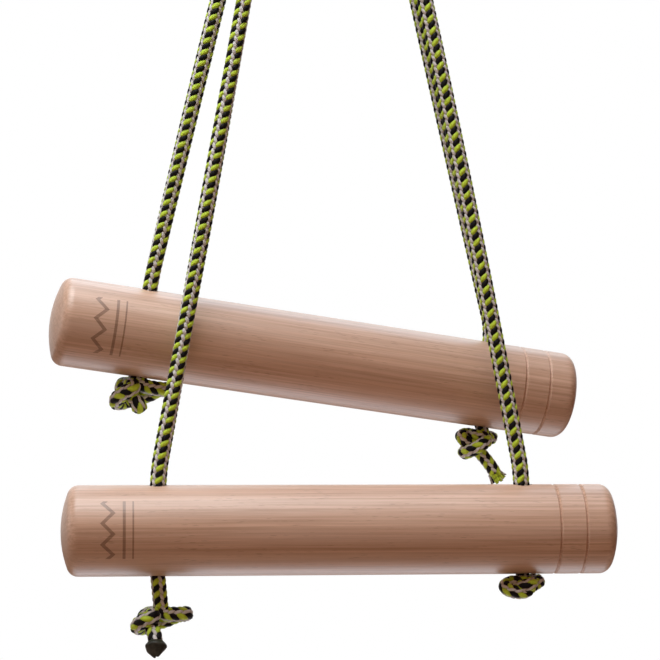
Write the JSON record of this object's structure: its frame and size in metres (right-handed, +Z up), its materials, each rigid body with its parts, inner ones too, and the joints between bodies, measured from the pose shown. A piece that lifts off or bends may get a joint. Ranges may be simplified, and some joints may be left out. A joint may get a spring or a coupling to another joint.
{
  "type": "pair of rope-hung wooden grip bars",
  "caption": "Wooden grip bars, each cross-drilled near both ends and hung on its own knotted braided rope over a carabiner under a ceiling plate, so that each bar tilts like a seesaw.",
  "frame": {"origin": "centre of the ceiling plate's top face, where it meets the ceiling", "axes": "+X to the viewer's right along the bars, +Y away from the viewer, +Z up, with everything below the origin"},
  "size_m": [0.3196, 0.141, 0.6808],
  "materials": {
    "wood": "satin, sanded hardwood",
    "rope": "round-braided cord sheath in light grey, black and bright green",
    "melted_rope": "melted and hardened rope end",
    "alloy": "satin anodised",
    "steel": "zinc plated"
  },
  "bodies": {
    "ceiling_anchor": {"ceiling_plate": "steel", "anchor_eye": "steel"},
    "carabiner": {"carabiner_body": "alloy", "gate_pivot_pin": "steel"},
    "gate": {"carabiner_gate": "alloy"},
    "sleeve": {"screw_sleeve": "alloy"},
    "front_sling": {"front_rope": "rope"},
    "front_grip": {"front_bar": "wood", "front_right_run": "rope", "front_right_knot": "rope"},
    "front_loose_end": {"front_left_run": "rope", "front_left_knot": "rope", "front_left_tail": "rope", "front_left_tip": "melted_rope"},
    "rear_sling": {"rear_rope": "rope"},
    "rear_grip": {"rear_bar": "wood", "rear_left_run": "rope", "rear_left_knot": "rope", "rear_left_tail": "rope", "rear_right_run": "rope", "rear_right_knot": "rope", "rear_right_tail": "rope"}
  },
  "joints": [
    {"name": "carabiner_sway", "type": "hinge", "parent": "ceiling_anchor", "child": "carabiner", "pos_m": [0, 0, -0.026], "axis": [0, 1, 0], "range_deg": [-20, 20]},
    {"name": "gate_open", "type": "hinge", "parent": "carabiner", "child": "gate", "pos_m": [0, -0.02138, -0.07995], "axis": [-1, 0, 0], "range_deg": [0, 25], "stiffness_Nm_per_rad": 0.06, "springref_deg": -22.92},
    {"name": "sleeve_screw", "type": "slide", "parent": "gate", "child": "sleeve", "axis": [0, 0.2545, 0.9671], "range_m": [0, 0.015]},
    {"name": "front_swing", "type": "hinge", "parent": "carabiner", "child": "front_sling", "pos_m": [0, 0, -0.09695], "axis": [1, 0, 0], "range_deg": [-45, 0]},
    {"name": "front_tilt", "type": "hinge", "parent": "front_sling", "child": "front_grip", "pos_m": [0.0097, -0.023, -0.60895], "axis": [-0.1064, 0.9936, -0.0372], "range_deg": [-15, 15], "deforming": ["front_rope"]},
    {"name": "front_slack", "type": "slide", "parent": "front_grip", "child": "front_loose_end", "axis": [0.0013, 0.0375, 0.9993], "range_m": [0, 0.0155], "deforming": ["front_left_run"]},
    {"name": "rear_swing", "type": "hinge", "parent": "carabiner", "child": "rear_sling", "pos_m": [0, 0, -0.09695], "axis": [1, 0, 0], "range_deg": [0, 45]},
    {"name": "rear_tilt", "type": "hinge", "parent": "rear_sling", "child": "rear_grip", "pos_m": [-0.0041, 0.0231, -0.51495], "axis": [-0.2028, 0.9782, 0.0451], "range_deg": [-20, 6.5], "deforming": ["rear_rope"]}
  ]
}
